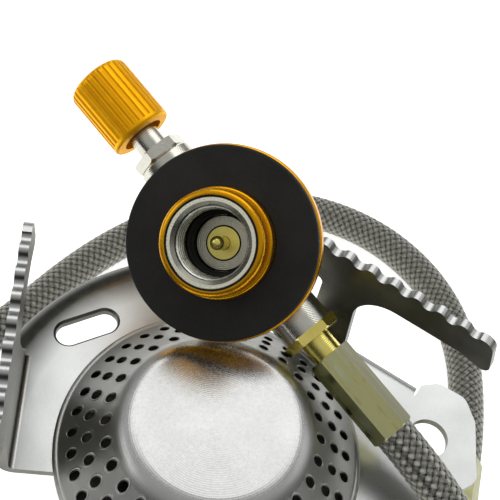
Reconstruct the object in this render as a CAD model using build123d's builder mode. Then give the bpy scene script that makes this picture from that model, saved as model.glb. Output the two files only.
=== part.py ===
from build123d import *
import math
import os

os.makedirs("parts", exist_ok=True)

# Leg sheets and their stack under the burner
pot_level = 43.6
seat_level = 22.0
sheet = 1.5
washer_thick = 0.5
washer_radius = 11.5
hub_radius = 13.0
hub_bore = 7.05
bend_inner = 0.8
edge_round = 0.4

# Pot arms
arm_distance = 30.0
wave_pitch = 4.05
wave_depth = 1.1
band_low = 37.1
drop_low = 35.5
drop_run = 5.5
drop_blend = 3.0
heel_low = 34.7
heel_rise = 1.0
tip_lean = 1.5
tip_run = 2.3
tip_round = 2.1
butt_round = 0.8
drop_round = 1.2
crook_round = 6.3
heel_round = 1.2

# Hooked legs, right and front
right_turn = -30
front_turn = 210
hook_start = -2.5
hook_tip = 30.5
neck_from = 0.8
neck_to = 8.1
neck_shoulder = 6.9
foot_from = 9.4
foot_to = 22.0
foot_round = 4.0
relief_width = 0.4
hook_shares = [(0.82, 1.12), (0.987, 1.127), (1.1, 1.027), (1.26, 0.717), (1.133, 0.483), (0.333, -0.217)]
hook_round = 2.4
hook_hole_s = 27.7
hook_hole_n = 23.6
hook_hole_radius = 3.35

# Slotted leg, left
left_turn = 90
left_start = -10.0
left_tip = 27.3
left_from = -5.5
left_to = 14.3
left_shoulder = 8.3
left_crook = 3.0
skirt_reach = 8.0
skirt_bend = 5.0
skirt_first = 20
skirt_gap = 0.3
skirt_depth = 7.0
foot_sweep = 13
slot_angle = 46.4
slot_inset = 4.0
slot_length = 10.4
slot_width = 4.2
slot_turn = -63

# Burner
cap_radius = 24.0
cap_sheet = 0.5
bead_height = 0.8
cone_radius = 23.1
lid_radius = 14.0
lid_height = 11.0
lid_crown = 0.35
lid_shoulder = 5.0
bead_round = 0.6
port_radius = 0.8
port_row_radii = [21.1, 18.8, 16.2]
port_counts = [38, 33, 28]
base_radius = 22.3
base_sheet = 0.8
stem_radius = 7.0
stem_bore = 5.0
stem_low = 10.2
stem_flange = 9.5
flange_thick = 1.2
baffle_radius = 12.5
baffle_gap = 3.0
baffle_sheet = 0.6
baffle_post = 0.9
baffle_pcd = 7.2
nut_width = 19.0
nut_high = 16.0
nut_thick = 3.4

# Jet holder and feed pipe
socket_radius = 8.5
socket_low = 1.5
socket_high = 12.2
socket_floor = 7.0
air_radius = 1.5
air_level = 8.7
air_count = 4
air_share = 0.5
jet_radius = 2.5
jet_seat = 5.2
jet_high = 9.6
jet_bore = 1.2
jet_hole = 0.3
jet_nose = 0.9
fit_gap = 0.05
inlet_level = 4.5
inlet_angle = -20
inlet_turn = 99
inlet_corner = 44.0
inlet_bend = 8.0
inlet_straight = 0.75
inlet_boss = 3.6
boss_end = 10.8
boss_nut = 2.4
pipe_radius = 2.5
pipe_bore = 1.2
pipe_start = 6.0
pipe_grip = 10.0

# Hose and its ferrules
ferrule_width = 6.3
ferrule_length = 15.5
hex_chamfer = 0.25
hex_turn = 30
hose_radius = 3.2
hose_bore = 2.0
lead_length = 14.0
tail_length = 8.0
route_reach = 50.0
air_shares = [(0.9, -0.42, 0.41), (0.93, -0.77, 0.27), (0.79, -1.088, 0.13)]
table_shares = [
    (0.488, -1.306), (0.156, -1.382), (-0.18, -1.34), (-0.52, -1.23), (-0.82, -1.02), (-1.04, -0.73),
    (-1.15, -0.38), (-1.13, -0.02), (-0.99, 0.31), (-0.72, 0.58), (-0.43, 0.936), (-0.1, 1.164),
    (0.28, 1.25), (0.604, 1.172), (0.842, 0.972), (0.964, 0.698),
]
bend_share = 0.45

# Valve: place, then heights along its screw axis
valve_x = 0.9
valve_y = 28.91
valve_rise = 4.62
valve_azimuth = -116.38
valve_lean = 37.87
valve_spin = -111.86
mouth_top = 17.2
collar_top = 17.1
collar_step = 13.2
collar_radius = 8.4
rim_radius = 7.9
rim_round = 0.75
rim_inner_round = 0.3
plate_radius = 15.1
plate_low = 6.4
plate_high = 8.9
plate_round = 0.5
pad_radius = 14.8
pad_high = 10.4
pad_bore = 8.5
pad_round = 0.4
insert_radius = 6.75
insert_round = 0.15
thread_radius = 5.55
thread_low = 11.6
relief_depth = 0.25
relief_over = 0.1
mouth_chamfer = 0.55
well_radius = 5.2
seat_top = 7.2
seal_radius = 5.1
seal_bore = 4.4
seal_top = 11.0
seal_round = 0.5
seal_rim = 0.15
guide_radius = 4.3
guide_top = 8.2
guide_round = 0.25
disc_radius = 2.5
disc_gap = 0.25
disc_recess = 0.9
pin_radius = 1.05
pin_bore = 1.1
pin_round = 0.9
pin_top = 13.7
pin_low = 2.6
gas_bore = 1.2
gas_level = 2.9

# Valve body, spindle and knob, distances from the screw axis
body_radius = 8.0
body_low = -8.2
body_chamfer = 2.4
boss_radius = 4.65
boss_top = 17.4
boss_chamfer = 0.3
gland_start = 17.7
gland_height = 1.7
gland_width = 7.9
gland_turn = 20
spindle_radius = 2.45
spindle_gap = 0.05
spindle_start = 4.0
needle_radius = 0.9
needle_tip = 1.6
needle_taper = 8
seal_start = 8.9
seal_end = 10.3
packing_radius = 3.6
knob_start = 22.85
knob_length = 12.2
knob_radius = 5.2
knob_round = 1.3
knob_lip = 0.9
lip_round = 0.6
knob_recess = 3.5
recess_depth = 1.6
knob_grip = 8.0
rib_count = 30
rib_groove = 0.3
outlet_radius = 4.35
outlet_end = 18.1
outlet_nut = 1.6
outlet_nut_width = 8.5
outlet_turn = 47
tube_start = 13.0
tube_show = 3.3
tube_end = 34.0


def plate_plane(turn, level):
    return Plane.XY.offset(level).rotated((0, 0, turn))


def arm_plane(turn):
    flat = plate_plane(turn, 0)
    return Plane(flat.from_local_coords((0, arm_distance, 0)), x_dir=flat.x_dir, z_dir=-flat.y_dir)


def arm_sketch(turn, level, low_from, low_to, shoulder, crook, start, tip):
    wave_middle = pot_level - wave_depth / 2
    last = tip - tip_lean - tip_run
    waves = int((last - start) / wave_pitch)
    first = last - waves * wave_pitch
    with BuildSketch(arm_plane(turn)) as arm:
        with BuildLine():
            for wave in range(waves):
                s = first + wave * wave_pitch
                half = s + wave_pitch / 2
                ThreePointArc((s, wave_middle), (s + wave_pitch / 4, pot_level), (half, wave_middle))
                dip = (half + wave_pitch / 4, pot_level - wave_depth)
                ThreePointArc((half, wave_middle), dip, (s + wave_pitch, wave_middle))
            FilletPolyline(
                (last, wave_middle), (tip - tip_lean, wave_middle), (tip, drop_low),
                (tip - drop_run, band_low), (shoulder, band_low), (low_to, level),
                radius=[tip_round, drop_round, drop_blend, crook],
            )
            Line((low_to, level), (low_from, level))
            FilletPolyline(
                (low_from, level), (low_from, heel_low), (start, heel_low + heel_rise),
                (start, wave_middle), (first, wave_middle),
                radius=[heel_round, butt_round, butt_round],
            )
        make_face()
    return arm.sketch


def bend(block, plane, s, outer_height, inner_height):
    outer = plane.from_local_coords((s, arm_distance + sheet, outer_height))
    fillet(block.edges().sort_by_distance(outer)[0], radius=bend_inner + sheet)
    inner = plane.from_local_coords((s, arm_distance, inner_height))
    fillet(block.edges().sort_by_distance(inner)[0], radius=bend_inner)


def radial_plane(turn):
    side = Plane.XY.rotated((0, 0, turn))
    return Plane((0, 0, 0), x_dir=side.x_dir, z_dir=-side.y_dir)


def drop_sketch(plane, reach, radius, top, low):
    edge = reach - radius
    middle = top - radius
    with BuildSketch(plane) as drop:
        with BuildLine():
            CenterArc((edge, middle), radius, 0, 90)
            CenterArc((edge, middle), radius - sheet, 0, 90)
            Polyline((edge, top), (edge - sheet, top), (edge - sheet, top - sheet), (edge, top - sheet))
            Polyline((reach, middle), (reach, low), (reach - sheet, low), (reach - sheet, middle))
        make_face()
    return drop.sketch


def hooked_leg(turn, level):
    flat = plate_plane(turn, level)
    side = arm_distance + sheet
    foot_edge = arm_distance - bend_inner
    hook = [(s * arm_distance, n * arm_distance) for s, n in hook_shares]
    outline = [
        (neck_from, 0), (neck_from, side), (neck_to, side), (neck_to, foot_edge - relief_width),
        (foot_from, foot_edge - relief_width), (foot_from, foot_edge),
        (foot_to + relief_width, foot_edge), (foot_to + relief_width, side), *hook,
    ]
    rounds = [0, 0, 0, 0, 0, 0, 0, 0] + [hook_round] * len(hook)
    ground = plate_plane(turn, 0)
    foot_start = Plane(ground.from_local_coords((foot_from, 0, 0)), x_dir=ground.y_dir, z_dir=ground.x_dir)
    with BuildPart() as leg:
        with BuildSketch(flat):
            Circle(hub_radius)
            with BuildLine():
                FilletPolyline(*outline, radius=rounds, close=True)
            make_face()
            Circle(hub_bore, mode=Mode.SUBTRACT)
            with Locations((hook_hole_s, hook_hole_n)):
                Circle(hook_hole_radius, mode=Mode.SUBTRACT)
        extrude(amount=sheet)
        arm = arm_sketch(turn, level, neck_from, neck_to, neck_shoulder, crook_round, hook_start, hook_tip)
        extrude(arm, -sheet)
        bend(leg, flat, (neck_from + neck_to) / 2, 0, sheet)
        extrude(drop_sketch(foot_start, side, bend_inner + sheet, level + sheet, 0), foot_to - foot_from)
        for foot_side in (foot_from, foot_to):
            toe = ground.from_local_coords((foot_side, arm_distance + sheet / 2, 0))
            fillet(leg.edges().sort_by_distance(toe)[0], radius=foot_round)
    return leg.part


def ring(plane, radius, bore, height):
    with BuildPart() as piece:
        with BuildSketch(plane):
            Circle(radius)
            Circle(bore, mode=Mode.SUBTRACT)
        extrude(amount=height)
    return piece.part


def hex_sleeve(plane, width, bore, height, turn):
    with BuildPart() as sleeve:
        with BuildSketch(plane):
            Circle(width / math.sqrt(3))
        extrude(amount=height)
        for level in (0, height):
            end = sleeve.faces().sort_by_distance(plane.from_local_coords((0, 0, level)))[0]
            chamfer(end.edges(), length=hex_chamfer)
        with BuildSketch(plane):
            RegularPolygon(width / 2, 6, major_radius=False, rotation=turn)
        extrude(amount=height, mode=Mode.INTERSECT)
        with BuildSketch(plane):
            Circle(bore)
        extrude(amount=height, mode=Mode.SUBTRACT)
    return sleeve.part


valve_z = seat_level + lid_height + valve_rise
valve_place = Location((valve_x, valve_y, valve_z), (0, 0, valve_azimuth))
valve_place = valve_place * Location((0, 0, 0), (0, valve_lean, 0)) * Location((0, 0, 0), (0, 0, valve_spin))
valve = Plane(valve_place)


def toward_knob(distance):
    return Plane(valve.from_local_coords((distance, 0, 0)), x_dir=valve.y_dir, z_dir=valve.x_dir)


def toward_outlet(distance):
    return Plane(valve.from_local_coords((-distance, 0, 0)), x_dir=valve.y_dir, z_dir=-valve.x_dir)


# Burner
with BuildPart() as burner_cap:
    with BuildSketch(Plane.XZ):
        with BuildLine():
            FilletPolyline(
                (0, seat_level), (cap_radius, seat_level), (cap_radius, seat_level + bead_height),
                (cone_radius, seat_level + bead_height), (lid_radius, seat_level + lid_height),
                (0, seat_level + lid_height + lid_crown),
                radius=[0, bead_round, edge_round, lid_shoulder],
            )
            Line((0, seat_level + lid_height + lid_crown), (0, seat_level))
        make_face()
    revolve(axis=Axis.Z)
    offset(amount=-cap_sheet, openings=burner_cap.faces().sort_by(Axis.Z)[0])
    with BuildSketch(Plane.XY.offset(seat_level + lid_height)):
        for row_radius, row_count in zip(port_row_radii, port_counts):
            with PolarLocations(row_radius, row_count):
                Circle(port_radius)
    extrude(amount=-lid_height, mode=Mode.SUBTRACT)
burner_cap.part.label = "burner_cap"
export_step(burner_cap.part, "parts/burner_cap.step")

with BuildPart() as burner_base:
    with BuildSketch(Plane.XY.offset(seat_level)):
        Circle(base_radius)
        Circle(hub_bore, mode=Mode.SUBTRACT)
    extrude(amount=base_sheet)
burner_base.part.label = "burner_base"
export_step(burner_base.part, "parts/burner_base.step")

stem_top = seat_level + base_sheet + flange_thick
with BuildPart() as burner_stem:
    with BuildSketch(Plane.XY.offset(stem_low)):
        Circle(stem_radius)
    extrude(amount=stem_top - stem_low)
    with BuildSketch(Plane.XY.offset(stem_top)):
        Circle(stem_flange)
    extrude(amount=-flange_thick)
    with BuildSketch(Plane.XY.offset(stem_low)):
        Circle(stem_bore)
    extrude(amount=stem_top - stem_low, mode=Mode.SUBTRACT)
burner_stem.part.label = "burner_stem"
export_step(burner_stem.part, "parts/burner_stem.step")

with BuildPart() as baffle_plate:
    with BuildSketch(Plane.XY.offset(stem_top + baffle_gap)):
        Circle(baffle_radius)
    extrude(amount=baffle_sheet)
    with BuildSketch(Plane.XY.offset(stem_top)):
        with PolarLocations(baffle_pcd, 3):
            Circle(baffle_post)
    extrude(amount=baffle_gap)
baffle_plate.part.label = "baffle_plate"
export_step(baffle_plate.part, "parts/baffle_plate.step")

# Legs, each one sheet lower than the last with a washer between
left_level = seat_level - sheet
right_level = left_level - washer_thick - sheet
front_level = right_level - washer_thick - sheet
with BuildPart() as left_leg:
    left_flat = plate_plane(left_turn, left_level)
    skirt_radius = arm_distance + skirt_reach
    skirt_edge = skirt_radius - skirt_bend
    skirt_sweep = math.degrees(math.acos((left_to + skirt_gap) / skirt_edge)) - skirt_first
    with BuildSketch(left_flat):
        Circle(hub_radius)
        with BuildLine():
            arc = CenterArc((0, 0), skirt_edge, skirt_first, skirt_sweep)
            Polyline(
                arc @ 1, (left_to, arm_distance + sheet), (left_from, arm_distance + sheet), (left_from, 0),
                arc @ 0,
            )
        make_face()
        Circle(hub_bore, mode=Mode.SUBTRACT)
    extrude(amount=sheet)
    left_arm = arm_sketch(
        left_turn, left_level, left_from, left_to, left_shoulder, left_crook, left_start, left_tip,
    )
    extrude(left_arm, -sheet)
    bend(left_leg, left_flat, (left_from + left_to) / 2, 0, sheet)
    skirt_low = seat_level - skirt_depth
    skirt_start = radial_plane(left_turn + skirt_first)
    skirt = drop_sketch(skirt_start, skirt_radius, skirt_bend, seat_level, skirt_low)
    revolve(skirt, axis=Axis.Z, revolution_arc=skirt_sweep)
    with BuildSketch(left_flat):
        with PolarLocations(skirt_edge - slot_inset, 1, start_angle=slot_angle):
            SlotOverall(slot_length, slot_width, rotation=slot_turn - slot_angle)
    extrude(amount=sheet, mode=Mode.SUBTRACT)
    with BuildSketch(plate_plane(left_turn, seat_level)):
        with PolarLocations(skirt_edge - slot_inset, 1, start_angle=slot_angle):
            SlotOverall(
                slot_length + 2 * edge_round, slot_width + 2 * edge_round, rotation=slot_turn - slot_angle,
            )
    extrude(amount=-edge_round, taper=45, mode=Mode.SUBTRACT)
    with BuildSketch(radial_plane(left_turn + skirt_first + skirt_sweep - foot_sweep)) as foot:
        with BuildLine():
            Polyline(
                (skirt_radius, 0), (skirt_radius, skirt_low), (skirt_radius - sheet, skirt_low),
                (skirt_radius - sheet, 0), close=True,
            )
        make_face()
    revolve(foot.sketch, axis=Axis.Z, revolution_arc=foot_sweep)
left_leg.part.label = "left_leg"
export_step(left_leg.part, "parts/left_leg.step")

right_leg = hooked_leg(right_turn, right_level)
right_leg.label = "right_leg"
export_step(right_leg, "parts/right_leg.step")

front_leg = hooked_leg(front_turn, front_level)
front_leg.label = "front_leg"
export_step(front_leg, "parts/front_leg.step")

upper_washer = ring(Plane.XY.offset(left_level), washer_radius, hub_bore, -washer_thick)
upper_washer.label = "upper_washer"
export_step(upper_washer, "parts/upper_washer.step")

middle_washer = ring(Plane.XY.offset(right_level), washer_radius, hub_bore, -washer_thick)
middle_washer.label = "middle_washer"
export_step(middle_washer, "parts/middle_washer.step")

lower_washer = ring(Plane.XY.offset(front_level), washer_radius, hub_bore, -washer_thick)
lower_washer.label = "lower_washer"
export_step(lower_washer, "parts/lower_washer.step")

stem_nut = hex_sleeve(Plane.XY.offset(nut_high - nut_thick), nut_width, hub_bore, nut_thick, hex_turn)
stem_nut.label = "stem_nut"
export_step(stem_nut, "parts/stem_nut.step")

# Jet holder, jet and feed pipe
inlet_frame = Plane.XY.offset(inlet_level).rotated((0, 0, inlet_angle))


def toward_inlet(distance):
    start = inlet_frame.from_local_coords((distance, 0, 0))
    return Plane(start, x_dir=inlet_frame.y_dir, z_dir=inlet_frame.x_dir)


corner = inlet_frame.from_local_coords((inlet_corner, 0, 0))
reach_angle = math.radians(inlet_angle + inlet_turn)
reach = Vector(math.cos(reach_angle), math.sin(reach_angle), 0)
inlet_reach = inlet_bend * math.tan(math.radians(inlet_turn / 2)) + inlet_straight + ferrule_length
burner_end = corner + reach * inlet_reach
ferrule_foot = corner + reach * (inlet_reach - ferrule_length)
with BuildPart() as jet_body:
    with BuildSketch(Plane.XY.offset(socket_low)):
        Circle(socket_radius)
    extrude(amount=socket_high - socket_low)
    chamfer(jet_body.faces().sort_by(Axis.Z)[0].edges(), length=edge_round)
    with BuildSketch(toward_inlet(0)):
        Circle(inlet_boss - fit_gap)
    extrude(amount=boss_end)
    with BuildSketch(Plane.XY.offset(socket_floor)):
        Circle(hub_bore)
    extrude(amount=socket_high - socket_floor, mode=Mode.SUBTRACT)
    with BuildSketch(Plane.XY.offset(jet_seat)):
        Circle(jet_radius + fit_gap)
    extrude(amount=socket_floor - jet_seat, mode=Mode.SUBTRACT)
    with BuildSketch(Plane.XY.offset(inlet_level)):
        Circle(jet_bore)
    extrude(amount=socket_floor - inlet_level, mode=Mode.SUBTRACT)
    with BuildSketch(toward_inlet(0)):
        Circle(jet_bore)
    extrude(amount=boss_end, mode=Mode.SUBTRACT)
    with BuildSketch(toward_inlet(pipe_start)):
        Circle(pipe_radius + fit_gap)
    extrude(amount=boss_end - pipe_start, mode=Mode.SUBTRACT)
    for hole in range(air_count):
        turn = inlet_angle + 360 * (hole + air_share) / air_count
        side = Plane.XY.offset(air_level).rotated((0, 0, turn))
        with BuildSketch(Plane(side.origin, x_dir=side.y_dir, z_dir=side.x_dir)):
            Circle(air_radius)
        extrude(amount=socket_radius, mode=Mode.SUBTRACT)
jet_body.part.label = "jet_body"
export_step(jet_body.part, "parts/jet_body.step")

with BuildPart() as jet:
    with BuildSketch(Plane.XZ):
        with BuildLine():
            Polyline(
                (jet_bore, jet_seat), (jet_radius, jet_seat), (jet_radius, jet_high - jet_nose),
                (jet_radius - jet_nose, jet_high), (jet_hole, jet_high), (jet_hole, jet_high - jet_nose),
                (jet_bore, jet_high - 2 * jet_nose), close=True,
            )
        make_face()
    revolve(axis=Axis.Z)
jet.part.label = "jet"
export_step(jet.part, "parts/jet.step")

with BuildPart() as inlet_pipe:
    with BuildLine() as pipe_path:
        FilletPolyline(
            inlet_frame.from_local_coords((pipe_start, 0, 0)), corner, ferrule_foot + reach * pipe_grip,
            radius=inlet_bend,
        )
    with BuildSketch(toward_inlet(pipe_start)):
        Circle(pipe_radius)
        Circle(pipe_bore, mode=Mode.SUBTRACT)
    sweep(path=pipe_path.line)
inlet_pipe.part.label = "inlet_pipe"
export_step(inlet_pipe.part, "parts/inlet_pipe.step")

inlet_nut = hex_sleeve(toward_inlet(boss_end), outlet_nut_width, pipe_radius + fit_gap, boss_nut, hex_turn)
inlet_nut.label = "inlet_nut"
export_step(inlet_nut, "parts/inlet_nut.step")

with BuildPart() as inlet_ferrule:
    foot_plane = Plane(ferrule_foot, x_dir=(0, 0, 1), z_dir=reach)
    add(hex_sleeve(foot_plane, ferrule_width, hose_bore, ferrule_length, hex_turn))
    with BuildSketch(foot_plane):
        Circle(pipe_radius + fit_gap)
    extrude(amount=pipe_grip, mode=Mode.SUBTRACT)
inlet_ferrule.part.label = "inlet_ferrule"
export_step(inlet_ferrule.part, "parts/inlet_ferrule.step")

# Valve head
with BuildPart() as valve_flange:
    with BuildSketch(valve.offset(plate_low)):
        Circle(plate_radius)
    extrude(amount=plate_high - plate_low)
    fillet(valve_flange.edges(), radius=plate_round)
    with BuildSketch(valve.offset(plate_low)):
        Circle(collar_radius)
    extrude(amount=collar_step - plate_low)
    step_edge = valve.from_local_coords((0, collar_radius, collar_step))
    fillet(valve_flange.edges().sort_by_distance(step_edge)[0], radius=pad_round)
    with BuildSketch(valve.offset(collar_step)):
        Circle(rim_radius)
    extrude(amount=collar_top - collar_step)
    rim_edge = valve.from_local_coords((0, rim_radius, collar_top))
    fillet(valve_flange.edges().sort_by_distance(rim_edge)[0], radius=rim_round)
    with BuildSketch(valve.offset(plate_low)):
        Circle(insert_radius)
    extrude(amount=collar_top - plate_low, mode=Mode.SUBTRACT)
    inner_edge = valve.from_local_coords((0, insert_radius, collar_top))
    fillet(valve_flange.edges().sort_by_distance(inner_edge)[0], radius=rim_inner_round)
valve_flange.part.label = "valve_flange"
export_step(valve_flange.part, "parts/valve_flange.step")

with BuildPart() as valve_pad:
    with BuildSketch(valve.offset(plate_high)):
        Circle(pad_radius)
    extrude(amount=pad_high - plate_high)
    pad_edge = valve.from_local_coords((0, pad_radius, pad_high))
    fillet(valve_pad.edges().sort_by_distance(pad_edge)[0], radius=pad_round)
    with BuildSketch(valve.offset(plate_high)):
        Circle(pad_bore)
    extrude(amount=pad_high - plate_high, mode=Mode.SUBTRACT)
valve_pad.part.label = "valve_pad"
export_step(valve_pad.part, "parts/valve_pad.step")

with BuildPart() as thread_insert:
    with BuildSketch(valve.offset(plate_low)):
        Circle(insert_radius - fit_gap)
    extrude(amount=mouth_top - plate_low)
    lip_edge = valve.from_local_coords((0, insert_radius - fit_gap, mouth_top))
    fillet(thread_insert.edges().sort_by_distance(lip_edge)[0], radius=insert_round)
    with BuildSketch(valve.offset(plate_low)):
        Circle(well_radius)
    extrude(amount=mouth_top - plate_low, mode=Mode.SUBTRACT)
    with BuildSketch(valve.offset(thread_low)):
        Circle(thread_radius)
    extrude(amount=mouth_top - thread_low, mode=Mode.SUBTRACT)
    with BuildSketch(valve.offset(thread_low)):
        Circle(thread_radius + relief_depth)
    extrude(amount=pin_top + relief_over - thread_low, mode=Mode.SUBTRACT)
    mouth_edge = valve.from_local_coords((0, thread_radius, mouth_top))
    chamfer(thread_insert.edges().sort_by_distance(mouth_edge)[0], length=mouth_chamfer)
thread_insert.part.label = "thread_insert"
export_step(thread_insert.part, "parts/thread_insert.step")

with BuildPart() as valve_seal:
    with BuildSketch(valve.offset(seat_top)):
        Circle(seal_radius)
        Circle(seal_bore, mode=Mode.SUBTRACT)
    extrude(amount=seal_top - seat_top)
    for seal_edge, edge_radius in ((seal_radius, seal_rim), (seal_bore, seal_round)):
        corner_point = valve.from_local_coords((0, seal_edge, seal_top))
        fillet(valve_seal.edges().sort_by_distance(corner_point)[0], radius=edge_radius)
valve_seal.part.label = "valve_seal"
export_step(valve_seal.part, "parts/valve_seal.step")

with BuildPart() as pin_guide:
    with BuildSketch(valve.offset(plate_low)):
        Circle(seal_radius)
    extrude(amount=seat_top - plate_low)
    with BuildSketch(valve.offset(seat_top)):
        Circle(guide_radius)
    extrude(amount=guide_top - seat_top)
    guide_edge = valve.from_local_coords((0, guide_radius, guide_top))
    fillet(pin_guide.edges().sort_by_distance(guide_edge)[0], radius=guide_round)
    with BuildSketch(valve.offset(guide_top - disc_recess)):
        Circle(disc_radius + disc_gap)
    extrude(amount=disc_recess, mode=Mode.SUBTRACT)
    with BuildSketch(valve.offset(plate_low)):
        Circle(gas_bore)
    extrude(amount=guide_top - plate_low, mode=Mode.SUBTRACT)
pin_guide.part.label = "pin_guide"
export_step(pin_guide.part, "parts/pin_guide.step")

with BuildPart() as pin_disc:
    with BuildSketch(valve.offset(guide_top - disc_recess)):
        Circle(disc_radius)
        Circle(pin_bore, mode=Mode.SUBTRACT)
    extrude(amount=disc_recess)
pin_disc.part.label = "pin_disc"
export_step(pin_disc.part, "parts/pin_disc.step")

with BuildPart() as depressor_pin:
    with BuildSketch(valve.offset(pin_low)):
        Circle(pin_radius)
    extrude(amount=pin_top - pin_low)
    tip_edge = valve.from_local_coords((0, pin_radius, pin_top))
    fillet(depressor_pin.edges().sort_by_distance(tip_edge)[0], radius=pin_round)
depressor_pin.part.label = "depressor_pin"
export_step(depressor_pin.part, "parts/depressor_pin.step")

# Valve body with its gas ways
with BuildPart() as valve_body:
    with BuildSketch(valve.offset(body_low)):
        Circle(body_radius)
    extrude(amount=plate_low - body_low)
    back = valve_body.faces().sort_by_distance(valve.from_local_coords((0, 0, body_low)))[0]
    chamfer(back.edges(), length=body_chamfer)
    with BuildSketch(toward_knob(0)):
        Circle(boss_radius)
    extrude(amount=boss_top)
    boss_edge = valve.from_local_coords((boss_top, 0, boss_radius))
    chamfer(valve_body.edges().sort_by_distance(boss_edge)[0], length=boss_chamfer)
    with BuildSketch(toward_outlet(0)):
        Circle(outlet_radius)
    extrude(amount=outlet_end)
    with BuildSketch(toward_knob(needle_tip)):
        Circle(spindle_radius + spindle_gap)
    extrude(amount=boss_top - needle_tip, mode=Mode.SUBTRACT)
    with BuildSketch(toward_knob(seal_start)):
        Circle(packing_radius)
    extrude(amount=boss_top - seal_start, mode=Mode.SUBTRACT)
    with BuildSketch(toward_knob(needle_tip)):
        Circle(needle_radius)
    extrude(amount=-outlet_end - needle_tip, mode=Mode.SUBTRACT)
    with BuildSketch(toward_outlet(tube_start)):
        Circle(pipe_radius + fit_gap)
    extrude(amount=outlet_end - tube_start, mode=Mode.SUBTRACT)
    with BuildSketch(Plane(valve.from_local_coords((0, 0, gas_level)), z_dir=valve.x_dir)):
        Circle(gas_bore)
    extrude(amount=needle_tip + 2 * gas_bore, mode=Mode.SUBTRACT)
    with BuildSketch(valve.offset(pin_low - gas_bore)):
        Circle(gas_bore)
    extrude(amount=plate_low - pin_low + gas_bore, mode=Mode.SUBTRACT)
valve_body.part.label = "valve_body"
export_step(valve_body.part, "parts/valve_body.step")

with BuildPart() as gland_nut:
    spindle_hole = spindle_radius + spindle_gap
    add(hex_sleeve(toward_knob(gland_start), gland_width, spindle_hole, gland_height, gland_turn))
    with BuildSketch(toward_knob(seal_end)):
        Circle(packing_radius - fit_gap)
        Circle(spindle_hole, mode=Mode.SUBTRACT)
    extrude(amount=gland_start - seal_end)
gland_nut.part.label = "gland_nut"
export_step(gland_nut.part, "parts/gland_nut.step")

seal_place = toward_knob(seal_start)
gland_seal = ring(seal_place, packing_radius - fit_gap, spindle_radius + spindle_gap, seal_end - seal_start)
gland_seal.label = "gland_seal"
export_step(gland_seal, "parts/gland_seal.step")

with BuildPart() as spindle:
    with BuildSketch(toward_knob(spindle_start)):
        Circle(spindle_radius)
    extrude(amount=knob_start + knob_grip - spindle_start)
    with BuildSketch(toward_knob(spindle_start)):
        Circle(needle_radius)
    extrude(amount=needle_tip - spindle_start, taper=needle_taper)
spindle.part.label = "spindle"
export_step(spindle.part, "parts/spindle.step")

with BuildPart() as knob:
    with BuildSketch(toward_knob(knob_start)):
        Circle(knob_radius)
    extrude(amount=knob_length)
    cap_edge = valve.from_local_coords((knob_start + knob_length, 0, knob_radius))
    fillet(knob.edges().sort_by_distance(cap_edge)[0], radius=knob_round)
    lip_edge = valve.from_local_coords((knob_start, 0, knob_radius))
    fillet(knob.edges().sort_by_distance(lip_edge)[0], radius=lip_round)
    with BuildSketch(toward_knob(knob_start + knob_lip)):
        with PolarLocations(knob_radius, rib_count):
            Circle(rib_groove)
    extrude(amount=knob_length - knob_lip, mode=Mode.SUBTRACT)
    with BuildSketch(toward_knob(knob_start)):
        Circle(knob_recess)
    extrude(amount=recess_depth, mode=Mode.SUBTRACT)
    with BuildSketch(toward_knob(knob_start)):
        Circle(spindle_radius + spindle_gap)
    extrude(amount=knob_grip, mode=Mode.SUBTRACT)
knob.part.label = "knob"
export_step(knob.part, "parts/knob.step")

# Outlet side
outlet_collar = hex_sleeve(
    toward_outlet(outlet_end), outlet_nut_width, pipe_radius + fit_gap, outlet_nut, outlet_turn,
)
outlet_collar.label = "outlet_nut"
export_step(outlet_collar, "parts/outlet_nut.step")

outlet_tube = ring(toward_outlet(tube_start), pipe_radius, pipe_bore, tube_end - tube_start)
outlet_tube.label = "outlet_tube"
export_step(outlet_tube, "parts/outlet_tube.step")

ferrule_start = outlet_end + outlet_nut + tube_show
with BuildPart() as valve_ferrule:
    add(hex_sleeve(toward_outlet(ferrule_start), ferrule_width, hose_bore, ferrule_length, outlet_turn))
    with BuildSketch(toward_outlet(ferrule_start)):
        Circle(pipe_radius + fit_gap)
    extrude(amount=tube_end - ferrule_start, mode=Mode.SUBTRACT)
valve_ferrule.part.label = "valve_ferrule"
export_step(valve_ferrule.part, "parts/valve_ferrule.step")

# Hose, from the valve round the table to the feed pipe
valve_end = toward_outlet(ferrule_start + ferrule_length)
route = [valve_end.origin, valve_end.from_local_coords((0, 0, lead_length))]
route += [Vector(x * route_reach, y * route_reach, z * route_reach) for x, y, z in air_shares]
route += [Vector(x * route_reach, y * route_reach, hose_radius) for x, y in table_shares]
route += [burner_end + reach * tail_length, burner_end]
route_radii = []
for before, here, after in zip(route, route[1:], route[2:]):
    turn = math.radians((here - before).get_angle(after - here))
    run = min((here - before).length, (after - here).length)
    route_radii.append(bend_share * run / math.tan(turn / 2))
with BuildPart() as hose:
    with BuildLine() as hose_path:
        FilletPolyline(*route, radius=route_radii)
    with BuildSketch(valve_end):
        Circle(hose_radius)
        Circle(hose_bore, mode=Mode.SUBTRACT)
    sweep(path=hose_path.line)
hose.part.label = "hose"
export_step(hose.part, "parts/hose.step")
print("hose radii", [round(radius, 1) for radius in route_radii])
print("hose length", round(hose_path.wires()[0].length, 1))
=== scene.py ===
import math

import bpy
import numpy as np
from mathutils import Matrix, Vector


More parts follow.
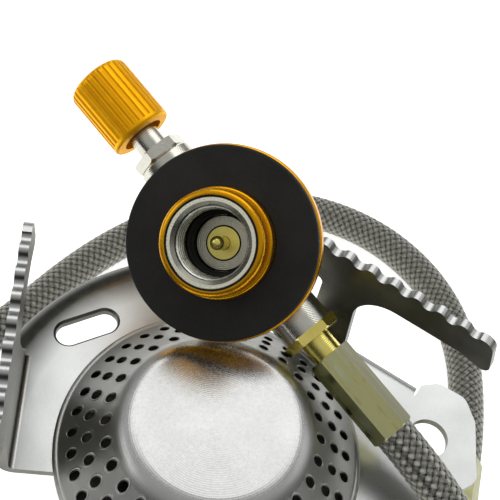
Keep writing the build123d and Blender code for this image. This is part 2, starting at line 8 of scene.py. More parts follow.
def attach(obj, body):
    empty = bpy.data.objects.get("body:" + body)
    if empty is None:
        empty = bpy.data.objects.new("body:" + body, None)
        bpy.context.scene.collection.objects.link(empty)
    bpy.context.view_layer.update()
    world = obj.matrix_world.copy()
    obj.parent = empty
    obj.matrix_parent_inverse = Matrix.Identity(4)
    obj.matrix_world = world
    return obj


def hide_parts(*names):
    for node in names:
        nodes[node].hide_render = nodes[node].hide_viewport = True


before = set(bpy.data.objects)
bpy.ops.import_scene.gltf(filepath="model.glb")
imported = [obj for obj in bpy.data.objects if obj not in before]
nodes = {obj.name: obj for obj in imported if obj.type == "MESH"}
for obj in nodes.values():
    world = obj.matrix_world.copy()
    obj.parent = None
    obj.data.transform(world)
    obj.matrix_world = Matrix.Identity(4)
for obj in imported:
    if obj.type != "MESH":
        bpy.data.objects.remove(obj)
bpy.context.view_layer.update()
MM = 0.001


def show(name, data):
    """A new object in the scene."""
    piece = bpy.data.objects.new(name, data)
    bpy.context.scene.collection.objects.link(piece)
    return piece


# Camera
CAMERA_PLACE = (-13.95, -75.84, 195.0)
CAMERA_RIGHT = (0.9905, 0.0354, 0.1329)
CAMERA_UP = (-0.1023, 0.8357, 0.5396)
CAMERA_BACK = (-0.092, -0.548, 0.8314)
LENS = 86.4
SENSOR_WIDTH = 36
CLIP_START = 10 * MM

camera_data = bpy.data.cameras.new("camera")
camera_data.lens = LENS
camera_data.sensor_width = SENSOR_WIDTH
camera_data.clip_start = CLIP_START
camera = show("camera", camera_data)
camera_turn = Matrix((CAMERA_RIGHT, CAMERA_UP, CAMERA_BACK)).transposed()
camera.matrix_world = Matrix.LocRotScale(Vector(CAMERA_PLACE) * MM, camera_turn.to_quaternion(), None)
bpy.context.scene.camera = camera
bpy.context.scene.view_settings.view_transform = "Standard"

# The valve's place, as in the part: its z axis is the canister's screw axis, its x axis points to the knob
VALVE_PLACE = Vector((0.9, 28.91, 37.62)) * MM
VALVE_AZIMUTH = -116.38
VALVE_LEAN = 37.87
VALVE_SPIN = -111.86
valve_turn = (
    Matrix.Rotation(math.radians(VALVE_AZIMUTH), 3, "Z")
    @ Matrix.Rotation(math.radians(VALVE_LEAN), 3, "Y")
    @ Matrix.Rotation(math.radians(VALVE_SPIN), 3, "Z")
)
valve_matrix = Matrix.LocRotScale(VALVE_PLACE, valve_turn.to_quaternion(), None)
KNOB_WAY = valve_turn @ Vector((1, 0, 0))
SCREW_WAY = valve_turn @ Vector((0, 0, 1))

# Hose route, the part's own points
HOSE_RADIUS = 3.2 * MM
FERRULE_START = 23.0 * MM
FERRULE_LENGTH = 15.5 * MM
LEAD_LENGTH = 14.0 * MM
TAIL_LENGTH = 8.0 * MM
ROUTE_REACH = 50.0 * MM
INLET_LEVEL = 4.5 * MM
INLET_ANGLE = -20
INLET_TURN = 99
INLET_CORNER = 44.0 * MM
INLET_BEND = 8.0 * MM
INLET_STRAIGHT = 0.75 * MM
INLET_REACH = INLET_BEND * math.tan(math.radians(INLET_TURN / 2)) + INLET_STRAIGHT + FERRULE_LENGTH
AIR_SHARES = [(0.9, -0.42, 0.41), (0.93, -0.77, 0.27), (0.79, -1.088, 0.13)]
TABLE_SHARES = [
    (0.488, -1.306), (0.156, -1.382), (-0.18, -1.34), (-0.52, -1.23), (-0.82, -1.02), (-1.04, -0.73),
    (-1.15, -0.38), (-1.13, -0.02), (-0.99, 0.31), (-0.72, 0.58), (-0.43, 0.936), (-0.1, 1.164),
    (0.28, 1.25), (0.604, 1.172), (0.842, 0.972), (0.964, 0.698),
]
ROUTE_ORDER = 3
ROUTE_STEPS = 40


def heading(degrees):
    """A level direction."""
    return Vector((math.cos(math.radians(degrees)), math.sin(math.radians(degrees)), 0))


valve_end = VALVE_PLACE - KNOB_WAY * (FERRULE_START + FERRULE_LENGTH)
inlet_way = heading(INLET_ANGLE + INLET_TURN)
burner_end = heading(INLET_ANGLE) * INLET_CORNER + inlet_way * INLET_REACH + Vector((0, 0, INLET_LEVEL))
route = [valve_end, valve_end - KNOB_WAY * LEAD_LENGTH]
route += [Vector(share) * ROUTE_REACH for share in AIR_SHARES]
route += [Vector((x * ROUTE_REACH, y * ROUTE_REACH, HOSE_RADIUS)) for x, y in TABLE_SHARES]
route += [burner_end + inlet_way * TAIL_LENGTH, burner_end]


def spline_points(name, places):
    """Points along a smooth spline that has the places as its control points."""
    data = bpy.data.curves.new(name, "CURVE")
    data.dimensions = "3D"
    data.resolution_u = ROUTE_STEPS
    spline = data.splines.new("NURBS")
    spline.points.add(len(places) - 1)
    for point, place in zip(spline.points, places):
        point.co = (*place, 1)
    spline.order_u = ROUTE_ORDER
    spline.use_endpoint_u = True
    curve = show(name, data)
    bpy.context.view_layer.update()
    mesh = bpy.data.meshes.new_from_object(curve)
    bpy.data.objects.remove(curve)
    return np.array([vertex.co for vertex in mesh.vertices])


def even_points(points, step):
    """Points at equal steps along a line of points, and their distances along it."""
    lengths = np.concatenate([[0], np.cumsum(np.linalg.norm(np.diff(points, axis=0), axis=1))])
    count = int(round(lengths[-1] / step)) + 1
    marks = np.linspace(0, lengths[-1], count)
    return np.stack([np.interp(marks, lengths, points[:, i]) for i in range(3)], axis=1), marks


def carried_sides(points):
    """Two sideways directions at each point, carried along without twist."""
    along = np.gradient(points, axis=0)
    along /= np.linalg.norm(along, axis=1, keepdims=True)
    side = np.cross(along[0], (0, 0, 1))
    sides = []
    for way in along:
        side = side - way * np.dot(side, way)
        side = side / np.linalg.norm(side)
        sides.append(side)
    sides = np.array(sides)
    return sides, np.cross(along, sides)


# Meshes
def surface(name, points, grids, smooth):
    """A mesh object through grids of point numbers."""
    faces = []
    for grid in grids:
        corners = grid[:-1, :-1], grid[:-1, 1:], grid[1:, 1:], grid[1:, :-1]
        faces.extend(np.stack(corners, axis=-1).reshape(-1, 4).tolist())
    mesh = bpy.data.meshes.new(name)
    mesh.from_pydata(points, [], faces)
    mesh.polygons.foreach_set("use_smooth", [smooth] * len(faces))
    return show(name, mesh)


def point_values(piece, name, values):
    """A number at each point, for the material to read."""
    layer = piece.data.attributes.new(name, "FLOAT", "POINT")
    layer.data.foreach_set("value", values.ravel().astype(np.float32))


# Braid: two families of flat strands, over one and under one
CARRIERS = 12
CELL = 1.4 * MM
STRAND_SHARE = 0.48
STRAND_SWING = 0.10 * MM
STRAND_CROWN = 0.13 * MM
RINGS_PER_CELL = 6
SIDES_PER_CARRIER = 8


def strand(mine, other, sign):
    """Height of one family's strands, and the place across the strand."""
    middle = np.round(mine)
    rise = sign * np.cos(np.pi * (other + middle)) * STRAND_SWING
    edge = np.clip(np.abs(mine - middle) / STRAND_SHARE, 0, 1)
    return rise + STRAND_CROWN * (np.sqrt(1 - edge ** 2) - 1), mine - middle


def braid_tube(name, points):
    """A braided tube along a line of points; wire is the place across a strand, sunk its depth."""
    line, marks = even_points(points, CELL / RINGS_PER_CELL)
    across, upward = carried_sides(line)
    count, sides = len(line), CARRIERS * SIDES_PER_CARRIER
    angle = np.arange(sides) * 2 * np.pi / sides
    base = (angle * CARRIERS / (2 * np.pi))[None, :]
    shift = (marks / CELL)[:, None]
    first, second = base + shift, base - shift
    first_height, first_place = strand(first, second, 1)
    second_height, second_place = strand(second, first, -1)
    radius = HOSE_RADIUS - STRAND_SWING + np.maximum(first_height, second_height)
    ring = np.cos(angle)[:, None] * across[:, None, :] + np.sin(angle)[:, None] * upward[:, None, :]
    places = line[:, None, :] + ring * radius[:, :, None]
    grid = np.arange(count * sides).reshape(count, sides)
    closed = np.concatenate([grid, grid[:, :1]], axis=1)
    piece = surface(name, places.reshape(-1, 3), [closed], smooth=True)
    point_values(piece, "wire", np.where(first_height > second_height, first_place, second_place))
    point_values(piece, "sunk", (HOSE_RADIUS - radius) / (STRAND_SWING + STRAND_CROWN))
    return piece, line


braid, braid_line = braid_tube("hose_braid", spline_points("hose_route", route))
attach(braid, "stove")
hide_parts("hose")

# Thread in the canister mouth, which the part leaves plain
THREAD_PITCH = 0.907 * MM
THREAD_LOW = 11.4 * MM
THREAD_HIGH = 16.75 * MM
ROOT_LOW = 5.25 * MM
ROOT_HIGH = 5.54 * MM
THREAD_DEPTH = 0.34 * MM
THREAD_SHARES = [(0, -0.48), (1, -0.08), (1, 0.08), (0, 0.48)]
FADE_TURNS = 0.25
STEPS_PER_TURN = 72


def strip(name, rows):
    """A mesh object through rows of points in the valve's frame."""
    grid = np.arange(len(rows) * len(rows[0])).reshape(len(rows), -1)
    piece = surface(name, np.concatenate(rows), [grid], smooth=False)
    piece.data.transform(valve_matrix)
    return piece


def mouth_thread(name):
    """A helix whose roots close in a little toward the bottom; depth tells crests from roots."""
    turns = (THREAD_HIGH - THREAD_LOW) / THREAD_PITCH - 1
    turn = np.linspace(0, turns, int(turns * STEPS_PER_TURN))
    fade = np.clip(np.minimum(turn, turns - turn) / FADE_TURNS, 0, 1)
    root = ROOT_LOW + (ROOT_HIGH - ROOT_LOW) * turn / turns
    angle = 2 * np.pi * turn
    middle = THREAD_LOW + THREAD_PITCH / 2
    rows, depths = [], []
    for share, shift in THREAD_SHARES:
        radius = root - share * fade * THREAD_DEPTH
        level = middle + (turn + shift) * THREAD_PITCH
        rows.append(np.stack([radius * np.cos(angle), radius * np.sin(angle), level], axis=1))
        depths.append(1 - share * fade)
    piece = strip(name, rows)
    point_values(piece, "depth", np.concatenate(depths))
    return piece


thread = mouth_thread("mouth_thread")
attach(thread, "stove")

# Dark rings in the mouth, as painted shade: one in the groove round the pin's disc and one in the line
# between insert and collar
RING_STEPS = 96
DISC_GROOVE_SHADE_PROFILE = [(2.51, 8.02), (2.56, 8.16), (2.63, 8.19), (2.70, 8.16), (2.74, 8.02)]
COLLAR_SHADOW_PROFILE = [(6.72, 16.92), (6.84, 17.02), (6.98, 17.13)]


def turned_ring(name, profile):
    """A surface turned about the screw axis from pairs of radius and level in millimetres."""
    angle = np.linspace(0, 2 * np.pi, RING_STEPS + 1)
    circle = np.stack([np.cos(angle), np.sin(angle), np.zeros_like(angle)], axis=1)
    piece = strip(name, [(circle * radius + (0, 0, level)) * MM for radius, level in profile])
    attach(piece, "stove")


turned_ring("disc_groove_shade", DISC_GROOVE_SHADE_PROFILE)
turned_ring("collar_shadow_line", COLLAR_SHADOW_PROFILE)

# Pressed lips of the burner's ports: rows of radius and count, cone ends and lip of radius and level
PORT_ROWS = [(21.1, 38), (18.8, 33), (16.2, 28)]
CONE_FOOT = 23.1, 22.8
CONE_HEAD = 14.0, 33.0
LIP_PROFILE = [(1.08, 0.0), (0.95, 0.07), (0.84, 0.04), (0.77, -0.12), (0.72, -0.65)]
LIP_STEPS = 24


def port_lips(name):
    """A lip round each port, laid on the cone."""
    slope = (CONE_HEAD[1] - CONE_FOOT[1]) / (CONE_HEAD[0] - CONE_FOOT[0])
    angle = np.linspace(0, 2 * np.pi, LIP_STEPS + 1)
    lip = np.arange(len(LIP_PROFILE) * (LIP_STEPS + 1)).reshape(len(LIP_PROFILE), -1)
    rows, grids = [], []
    for row_radius, count in PORT_ROWS:
        for turn in np.arange(count) * 2 * np.pi / count:
            grids.append(lip + len(grids) * lip.size)
            for radius, rise in LIP_PROFILE:
                x = row_radius * np.cos(turn) + radius * np.cos(angle)
                y = row_radius * np.sin(turn) + radius * np.sin(angle)
                z = CONE_FOOT[1] + slope * (np.hypot(x, y) - CONE_FOOT[0]) + rise
                rows.append(np.stack([x, y, z], axis=1) * MM)
    piece = surface(name, np.concatenate(rows), grids, smooth=True)
    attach(piece, "stove")


port_lips("port_lips")

# Materials: the span that a noise mostly keeps to, and a mix node's sockets for colours
NOISE_LOW = 0.3
NOISE_HIGH = 0.7
MIX_SHARE = 0
MIX_FIRST = 6
MIX_SECOND = 7
MIX_RESULT = 2


class Look:
    """A material's node tree with short ways to add nodes."""

    def __init__(self, name, metallic):
        self.material = bpy.data.materials.new(name)
        self.material.use_nodes = True
        self.tree = self.material.node_tree
        self.shader = self.tree.nodes["Principled BSDF"]
        self.metallic(metallic)
        coordinates = self.add("ShaderNodeTexCoord")
        self.place = coordinates.outputs["Object"]
        self.normal = coordinates.outputs["Normal"]

    def add(self, kind, **settings):
        node = self.tree.nodes.new(kind)
        for key, value in settings.items():
            setattr(node, key, value)
        return node

    def feed(self, socket, value):
        if isinstance(value, bpy.types.NodeSocket):
            self.tree.links.new(value, socket)
        else:
            socket.default_value = value

    def metallic(self, value):
        self.feed(self.shader.inputs["Metallic"], value)

    def roughness(self, value):
        self.feed(self.shader.inputs["Roughness"], value)

    def colour(self, value):
        self.feed(self.shader.inputs["Base Color"], value)

    def painted(self):
        """The colour as it stands."""
        return self.shader.inputs["Base Color"].links[0].from_socket

    def noise(self, size, detail=3, place=None, stretch=None):
        """Noise whose features are about size metres across."""
        place = place or self.place
        if stretch:
            node = self.add("ShaderNodeMapping")
            node.inputs["Scale"].default_value = stretch
            self.feed(node.inputs["Vector"], place)
            place = node.outputs[0]
        node = self.add("ShaderNodeTexNoise")
        node.inputs["Scale"].default_value = 1 / size
        node.inputs["Detail"].default_value = detail
        self.feed(node.inputs["Vector"], place)
        return node.outputs["Fac"]

    def stored(self, name):
        """A number stored at the mesh's points."""
        return self.add("ShaderNodeAttribute", attribute_name=name).outputs["Fac"]

    def math(self, operation, *values):
        node = self.add("ShaderNodeMath", operation=operation)
        for socket, value in zip(node.inputs, values):
            self.feed(socket, value)
        return node.outputs[0]

    def ramp(self, value, *stops):
        node = self.add("ShaderNodeValToRGB")
        elements = node.color_ramp.elements
        for position, colour in stops[len(elements):]:
            elements.new(position)
        for element, (position, colour) in zip(elements, stops):
            element.position = position
            element.color = (*colour, 1)
        self.feed(node.inputs[0], value)
        return node.outputs[0]

    def tint(self, noise, dark, light):
        """A colour that wanders between two with a noise."""
        return self.ramp(noise, (NOISE_LOW, dark), (NOISE_HIGH, light))

    def spread(self, value, low, high, start=NOISE_LOW, stop=NOISE_HIGH):
        node = self.add("ShaderNodeMapRange")
        for key, setting in (("From Min", start), ("From Max", stop), ("To Min", low), ("To Max", high)):
            node.inputs[key].default_value = setting
        self.feed(node.inputs["Value"], value)
        return node.outputs[0]

    def facing(self, way):
        """How far the surface faces a direction or its opposite, from 0 to 1."""
        node = self.add("ShaderNodeVectorMath", operation="DOT_PRODUCT")
        self.feed(node.inputs[0], self.normal)
        node.inputs[1].default_value = way
        return self.math("ABSOLUTE", node.outputs["Value"])

    def mix(self, share, first, second):
        node = self.add("ShaderNodeMix", data_type="RGBA")
        for index, value in ((MIX_SHARE, share), (MIX_FIRST, first), (MIX_SECOND, second)):
            self.feed(node.inputs[index], value)
        return node.outputs[MIX_RESULT]

    def bump(self, height, depth):
        """Bump of the given depth in metres; more than one adds up."""
        node = self.add("ShaderNodeBump")
        node.inputs["Strength"].default_value = 1
        node.inputs["Distance"].default_value = depth
        self.feed(node.inputs["Height"], height)
        socket = self.shader.inputs["Normal"]
        if socket.links:
            self.feed(node.inputs["Normal"], socket.links[0].from_socket)
        self.feed(socket, node.outputs[0])

    def placed(self, matrix):
        """The place in a placed frame."""
        node = self.add("ShaderNodeMapping", vector_type="TEXTURE")
        node.inputs["Location"].default_value = matrix.to_translation()
        node.inputs["Rotation"].default_value = matrix.to_euler()
        self.feed(node.inputs["Vector"], self.place)
        return node.outputs[0]

    def turned(self, matrix, axis):
        """Distance from an axis of a placed frame, and the place along it."""
        parts = self.add("ShaderNodeSeparateXYZ")
        self.feed(parts.inputs[0], self.placed(matrix))
        across = [parts.outputs[i] for i in range(3) if i != axis]
        squares = [self.math("MULTIPLY", part, part) for part in across]
        return self.math("SQRT", self.math("ADD", *squares)), parts.outputs[axis]

    def lines(self, value, pitch):
        """A wave of the given pitch along a distance."""
        return self.math("SINE", self.math("MULTIPLY", value, 2 * math.pi / pitch))


# The stove's frame and its upright axis, and the valve's two axes
UPRIGHT = Matrix.Identity(4)
UP_AXIS = 2
SCREW_AXIS = 2
KNOB_AXIS = 0

# Burner: colours are pairs of dark and light
LID_STEEL = (0.46, 0.465, 0.455), (0.54, 0.545, 0.535)
# The cone's colour is darker than the lid's as painted shade
CONE_STEEL_PAINTED_SHADE = (0.36, 0.365, 0.345), (0.44, 0.445, 0.42)
LID_EDGE = 13.0 * MM, 15.5 * MM
LID_ROUGHNESS = 0.22
CONE_ROUGHNESS = 0.36
SPUN_CLOUD = 9 * MM
SPUN_GRAIN = 0.5 * MM
SPUN_GRAIN_ROUGHNESS = 0.08
SPUN_GRAIN_DEPTH = 0.003 * MM
SPUN_PITCH = 0.35 * MM
SPUN_WOBBLE = 0.2 * MM
SPUN_DEPTH = 0.0015 * MM


def burner_look():
    """Spun steel, brighter and smoother on the lid than on the cone, the cone's darker colour being
    painted shade.
    """
    look = Look("spun_stainless", metallic=1)
    cloud = look.noise(SPUN_CLOUD)
    grain = look.noise(SPUN_GRAIN)
    radius = look.turned(UPRIGHT, UP_AXIS)[0]
    cone = look.spread(radius, 0, 1, *LID_EDGE)
    # Painted shade: the cone takes the darker colour
    look.colour(look.mix(cone, look.tint(cloud, *LID_STEEL), look.tint(cloud, *CONE_STEEL_PAINTED_SHADE)))
    smooth = look.spread(radius, LID_ROUGHNESS, CONE_ROUGHNESS, *LID_EDGE)
    look.roughness(look.math("ADD", smooth, look.spread(grain, 0, SPUN_GRAIN_ROUGHNESS)))
    travel = look.math("ADD", radius, look.math("MULTIPLY", grain, SPUN_WOBBLE))
    look.bump(look.lines(travel, SPUN_PITCH), SPUN_DEPTH)
    look.bump(grain, SPUN_GRAIN_DEPTH)
    return look


# Sooty steel under the burner
SOOT = (0.05, 0.045, 0.04), (0.11, 0.10, 0.09)
SOOT_CLOUD = 6 * MM
SOOT_GRAIN = 0.5 * MM
SOOT_ROUGHNESS = 0.45, 0.6


def soot_look():
    look = Look("sooty_steel", metallic=1)
    look.colour(look.tint(look.noise(SOOT_CLOUD), *SOOT))
    look.roughness(look.spread(look.noise(SOOT_GRAIN), *SOOT_ROUGHNESS))
    return look


# Legs
LEVEL_SHEET = (0.48, 0.49, 0.48), (0.56, 0.57, 0.56)
# Painted shade on upright and bending sheet
UPRIGHT_SHEET_PAINTED_SHADE = (0.11, 0.11, 0.09), (0.18, 0.175, 0.15)
PAINTED_SHADE_BAND = 0.6, 0.97
SHEET_ROUGHNESS = 0.27, 0.37
SHEET_CLOUD = 7 * MM
SHEET_GRAIN = 0.25 * MM
SHEET_GRAIN_DEPTH = 0.002 * MM
SHEET_WAVE = 3 * MM
SHEET_WAVE_DEPTH = 0.015 * MM
# Painted shade on the left leg's skirt where it turns down
SKIRT_PAINTED_SHADE = (0.035, 0.036, 0.03), (0.06, 0.06, 0.05)
SKIRT_SHADE_CLOUD = 2 * MM
SKIRT_SHADE_BAND = 29.0 * MM, 34.0 * MM
PLATE_TOP = 22.5 * MM, 26.0 * MM


def leg_look():
    """Satin sheet with painted shade, darker where it stands up or bends."""
    look = Look("satin_sheet", metallic=1)
    cloud = look.noise(SHEET_CLOUD)
    grain = look.noise(SHEET_GRAIN)
    level = look.spread(look.facing((0, 0, 1)), 0, 1, *PAINTED_SHADE_BAND)
    # Painted shade: faces that stand up or bend take the darker colour
    look.colour(look.mix(level, look.tint(cloud, *UPRIGHT_SHEET_PAINTED_SHADE), look.tint(cloud, *LEVEL_SHEET)))
    look.roughness(look.spread(grain, *SHEET_ROUGHNESS))
    look.bump(grain, SHEET_GRAIN_DEPTH)
    look.bump(look.noise(SHEET_WAVE), SHEET_WAVE_DEPTH)
    return look


def skirted_leg_look():
    """The same sheet, with painted shade where its skirt turns down."""
    look = leg_look()
    look.material.name = "satin_skirted_sheet"
    radius, height = look.turned(UPRIGHT, UP_AXIS)
    low = look.spread(height, 1, 0, *PLATE_TOP)
    skirt = look.math("MULTIPLY", look.spread(radius, 0, 1, *SKIRT_SHADE_BAND), low)
    # Painted shade: the skirt takes a dark colour
    look.colour(look.mix(skirt, look.painted(), look.tint(look.noise(SKIRT_SHADE_CLOUD), *SKIRT_PAINTED_SHADE)))
    return look


# Turned metal
NICKEL = (0.57, 0.56, 0.49), (0.70, 0.69, 0.61)
GUIDE_NICKEL = (0.50, 0.48, 0.37), (0.60, 0.58, 0.46)
GOLD = (0.69, 0.31, 0.007), (0.80, 0.39, 0.010)
# The knob's gold is lighter than the flange's as painted light
KNOB_GOLD_PAINTED_LIGHT = (0.90, 0.45, 0.008), (0.98, 0.52, 0.011)
BRASS = (0.80, 0.68, 0.17), (0.92, 0.80, 0.23)
NICKEL_ROUGHNESS = 0.2
BRASS_ROUGHNESS = 0.22
SATIN_ROUGHNESS = 0.3
KNOB_ROUGHNESS = 0.45
ROUGHNESS_SWING = 0.06
TURNED_CLOUD = 4 * MM
TURNED_GRAIN = 0.3 * MM
TURNED_PITCH = 0.3 * MM
TURNED_WOBBLE = 0.15 * MM
TURNED_DEPTH = 0.004 * MM
KNOB_DEPTH = 0.001 * MM


def turned_look(name, colours, roughness, axis, depth=TURNED_DEPTH):
    """Metal with fine lines round one of the valve's axes."""
    look = Look(name, metallic=1)
    grain = look.noise(TURNED_GRAIN)
    look.colour(look.tint(look.noise(TURNED_CLOUD), *colours))
    look.roughness(look.spread(grain, roughness - ROUGHNESS_SWING, roughness + ROUGHNESS_SWING))
    travel = look.math("ADD", *look.turned(valve_matrix, axis))
    wobble = look.math("ADD", travel, look.math("MULTIPLY", grain, TURNED_WOBBLE))
    look.bump(look.lines(wobble, TURNED_PITCH), depth)
    return look


# Canister mouth
# Painted light on the mouth's rim and painted shade on the rest of the insert
RIM_PAINTED_LIGHT = 0.96, 0.93, 0.75
RIM_METAL = 0.35
RIM_LIGHT_BAND = 0.85, 0.97
CHAMFER_PAINTED_SHADE = 0.30, 0.30, 0.255
# Painted highlight on the thread's flanks and painted shade on its crests and roots
FLANK_PAINTED_HIGHLIGHT = 0.95, 0.94, 0.86
THREAD_PAINTED_SHADE = 0.10, 0.10, 0.085
THREAD_LIGHT_AND_SHADE_STOPS = [(0.05, THREAD_PAINTED_SHADE), (0.25, FLANK_PAINTED_HIGHLIGHT), (0.7, FLANK_PAINTED_HIGHLIGHT), (0.95, THREAD_PAINTED_SHADE)]
THREAD_GRAIN = 0.4 * MM
THREAD_GRAIN_SHIFT = 0.1
THREAD_ROUGHNESS = 0.26, 0.38


def insert_look():
    """Turned nickel with painted light on a less metallic rim round the mouth and painted shade on the
    rest, the chamfer inside it included.
    """
    look = turned_look("turned_nickel_rim", (CHAMFER_PAINTED_SHADE, CHAMFER_PAINTED_SHADE), SATIN_ROUGHNESS, SCREW_AXIS)
    rim = look.spread(look.facing(SCREW_WAY), 0, 1, *RIM_LIGHT_BAND)
    # Painted light: the rim takes the light colour over the painted shade
    look.colour(look.mix(rim, look.painted(), (*RIM_PAINTED_LIGHT, 1)))
    look.metallic(look.spread(rim, 1, RIM_METAL, 0, 1))
    return look


def thread_look():
    """Nickel with a painted highlight on the thread's flanks and painted shade on its crests and in its
    roots.
    """
    look = Look("nickel_thread", metallic=1)
    grain = look.noise(THREAD_GRAIN)
    shift = look.spread(grain, -THREAD_GRAIN_SHIFT, THREAD_GRAIN_SHIFT)
    # Painted highlight and painted shade by the thread's depth
    look.colour(look.ramp(look.math("ADD", look.stored("depth"), shift), *THREAD_LIGHT_AND_SHADE_STOPS))
    look.roughness(look.spread(grain, *THREAD_ROUGHNESS))
    return look


# Rubber
RUBBER = (0.017, 0.017, 0.0165), (0.024, 0.024, 0.023)
RUBBER_SPECULAR = 0.25
RUBBER_CLOUD = 5 * MM
RUBBER_GRAIN = 0.3 * MM
RUBBER_GRAIN_DETAIL = 6
RUBBER_GRAIN_DEPTH = 0.02 * MM
RUBBER_ROUGHNESS = 0.55, 0.75


def rubber_look():
    look = Look("matt_rubber", metallic=0)
    look.shader.inputs["Specular IOR Level"].default_value = RUBBER_SPECULAR
    grain = look.noise(RUBBER_GRAIN, detail=RUBBER_GRAIN_DETAIL)
    look.colour(look.tint(look.noise(RUBBER_CLOUD), *RUBBER))
    look.roughness(look.spread(grain, *RUBBER_ROUGHNESS))
    look.bump(grain, RUBBER_GRAIN_DEPTH)
    return look


# Ferrules: a cloud and streaks choose the colour, and one pair of the hexagon's faces is browner and
# darker as painted shade
ZINC_STOPS = [
    (0.2, (0.34, 0.33, 0.17)), (0.42, (0.54, 0.51, 0.24)), (0.58, (0.48, 0.50, 0.26)),
    (0.8, (0.58, 0.60, 0.42)),
]
ZINC_CLOUD = 4 * MM
ZINC_CLOUD_SHARE = 0.15, 0.45
ZINC_GRAIN = 0.4 * MM
ZINC_GRAIN_DEPTH = 0.003 * MM
STREAK = 0.9 * MM
STREAK_STRETCH = 0.06, 1, 1
STREAK_SHARE = 0, 0.4
STREAK_DEPTH = 0.02 * MM
ZINC_ROUGHNESS = 0.22, 0.40
FACE_PAINTED_SHADE = 0.115, 0.11, 0.065
FACE_SHADE_SHARE = 0.85
FACE_SHADE_BAND = 0.7, 0.9
SHADED_FACE_ANGLE = math.radians(-22)
SHADED_FACE_WAY = valve_turn @ Vector((0, math.cos(SHADED_FACE_ANGLE), math.sin(SHADED_FACE_ANGLE)))


def zinc_look():
    """Yellow passivated zinc with drawn streaks along the hose's way into the valve."""
    look = Look("yellow_zinc", metallic=1)
    cloud = look.spread(look.noise(ZINC_CLOUD), *ZINC_CLOUD_SHARE)
    streak = look.noise(STREAK, place=look.placed(valve_matrix), stretch=STREAK_STRETCH)
    zinc = look.ramp(look.math("ADD", cloud, look.spread(streak, *STREAK_SHARE)), *ZINC_STOPS)
    # Painted shade on one pair of the hexagon's faces
    face_shade = look.spread(look.facing(SHADED_FACE_WAY), 0, FACE_SHADE_SHARE, *FACE_SHADE_BAND)
    look.colour(look.mix(face_shade, zinc, (*FACE_PAINTED_SHADE, 1)))
    look.roughness(look.spread(streak, *ZINC_ROUGHNESS))
    look.bump(look.noise(ZINC_GRAIN), ZINC_GRAIN_DEPTH)
    look.bump(streak, STREAK_DEPTH)
    return look


# Braided wire
# Painted shade: the braid is darker the deeper a strand dips
BRAID_SHADE_STOPS = [(0.0, (0.42, 0.42, 0.375)), (0.5, (0.22, 0.22, 0.19)), (0.95, (0.07, 0.07, 0.06))]
WIRES_PER_STRAND = 5.5
WIRE_DEPTH = 0.03 * MM
WIRE_GRAIN = 0.6 * MM
WIRE_ROUGHNESS = 0.24, 0.38


def braid_look():
    """Steel wires side by side in each strand, with painted shade making it darker where a strand dips."""
    look = Look("wire_braid", metallic=1)
    look.colour(look.ramp(look.stored("sunk"), *BRAID_SHADE_STOPS))
    look.roughness(look.spread(look.noise(WIRE_GRAIN), *WIRE_ROUGHNESS))
    wave = look.math("MULTIPLY", look.stored("wire"), 2 * math.pi * WIRES_PER_STRAND)
    look.bump(look.math("COSINE", wave), WIRE_DEPTH)
    return look


def paint(look, *names):
    for name in names:
        piece = nodes[name] if name in nodes else bpy.data.objects[name]
        piece.data.materials.clear()
        piece.data.materials.append(look.material)


paint(burner_look(), "burner_cap", "port_lips")
paint(soot_look(), "burner_base", "baffle_plate")
paint(skirted_leg_look(), "left_leg")
paint(leg_look(), "right_leg", "front_leg")
paint(
    turned_look("turned_nickel", NICKEL, NICKEL_ROUGHNESS, SCREW_AXIS),
    "valve_body", "burner_stem", "upper_washer", "middle_washer", "lower_washer", "stem_nut",
)
paint(turned_look("turned_nickel_side", NICKEL, NICKEL_ROUGHNESS, KNOB_AXIS), "gland_nut", "spindle")
paint(turned_look("guide_nickel", GUIDE_NICKEL, SATIN_ROUGHNESS, SCREW_AXIS), "pin_guide")
paint(turned_look("gold_anodised", GOLD, SATIN_ROUGHNESS, SCREW_AXIS), "valve_flange")
# Painted light: the knob takes the lighter gold
paint(turned_look("gold_anodised_side", KNOB_GOLD_PAINTED_LIGHT, KNOB_ROUGHNESS, KNOB_AXIS, KNOB_DEPTH), "knob")
paint(
    turned_look("turned_brass", BRASS, BRASS_ROUGHNESS, KNOB_AXIS),
    "outlet_nut", "outlet_tube", "jet_body", "jet", "inlet_pipe", "inlet_nut",
)
paint(turned_look("turned_brass_end", BRASS, BRASS_ROUGHNESS, SCREW_AXIS), "pin_disc", "depressor_pin")
paint(insert_look(), "thread_insert")
paint(thread_look(), "mouth_thread")
# The two dark rings in the mouth take the rubber colour as painted shade
paint(rubber_look(), "valve_pad", "valve_seal", "gland_seal", "disc_groove_shade", "collar_shadow_line")
paint(zinc_look(), "valve_ferrule", "inlet_ferrule")
paint(braid_look(), "hose_braid")

# Floor that glows a little, as a light table
FLOOR_SIZE = 1.2
FLOOR_WHITE = (0.86, 0.86, 0.86), (0.88, 0.88, 0.88)
FLOOR_CLOUD = 0.1
FLOOR_ROUGHNESS = 0.7
FLOOR_GLOW = 0.8

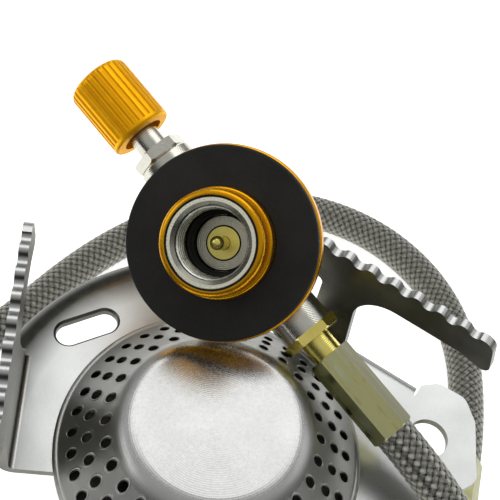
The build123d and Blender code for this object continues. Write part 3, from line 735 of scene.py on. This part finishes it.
half = FLOOR_SIZE / 2
floor_corners = [(x, y, 0) for y in (-half, half) for x in (-half, half)]
floor = surface("floor", floor_corners, [np.arange(4).reshape(2, 2)], smooth=False)
floor_look = Look("pale_floor", metallic=0)
floor_look.roughness(FLOOR_ROUGHNESS)
floor_look.colour(floor_look.tint(floor_look.noise(FLOOR_CLOUD), *FLOOR_WHITE))
floor_look.shader.inputs["Emission Color"].default_value = (1, 1, 1, 1)
floor_look.shader.inputs["Emission Strength"].default_value = FLOOR_GLOW
floor.data.materials.append(floor_look.material)

# A bright ceiling behind the stove that falls off to a dim room in front of it
BRIGHT_WAY = (0.0, 0.3, 0.954)
BRIGHT_EDGE = 0.75
CEILING_LIGHT = 0.5
ROOM_LIGHT = 0.06

world = bpy.data.worlds.new("studio")
bpy.context.scene.world = world
world.use_nodes = True
tree = world.node_tree
background = tree.nodes["Background"]
background.inputs["Color"].default_value = (1, 1, 1, 1)
seen = tree.nodes.new("ShaderNodeTexCoord").outputs["Generated"]
toward = tree.nodes.new("ShaderNodeVectorMath")
toward.operation = "DOT_PRODUCT"
toward.inputs[1].default_value = BRIGHT_WAY
fall = tree.nodes.new("ShaderNodeMapRange")
fall.interpolation_type = "SMOOTHSTEP"
fall.inputs["From Min"].default_value = 0
fall.inputs["From Max"].default_value = BRIGHT_EDGE
fall.inputs["To Min"].default_value = ROOM_LIGHT
fall.inputs["To Max"].default_value = CEILING_LIGHT
tree.links.new(seen, toward.inputs[0])
tree.links.new(toward.outputs["Value"], fall.inputs["Value"])
tree.links.new(fall.outputs[0], background.inputs["Strength"])

# Soft lamps: place and size in metres, and power
LAMP_AIM = Vector((0, 0, 0.03))
LAMPS = {
    "overhead": ((0.05, 0.33, 0.5), (0.55, 0.45), 1.0),
    "left": ((-0.5, 0.0, 0.35), (0.3, 0.3), 0.3),
    "right": ((0.5, 0.1, 0.35), (0.3, 0.3), 0.15),
}

for name, (place, size, power) in LAMPS.items():
    lamp = bpy.data.lights.new(name, "AREA")
    lamp.shape = "RECTANGLE"
    lamp.size, lamp.size_y = size
    lamp.energy = power
    light = show(name, lamp)
    light.location = place
    light.rotation_euler = (LAMP_AIM - Vector(place)).to_track_quat("-Z", "Y").to_euler()
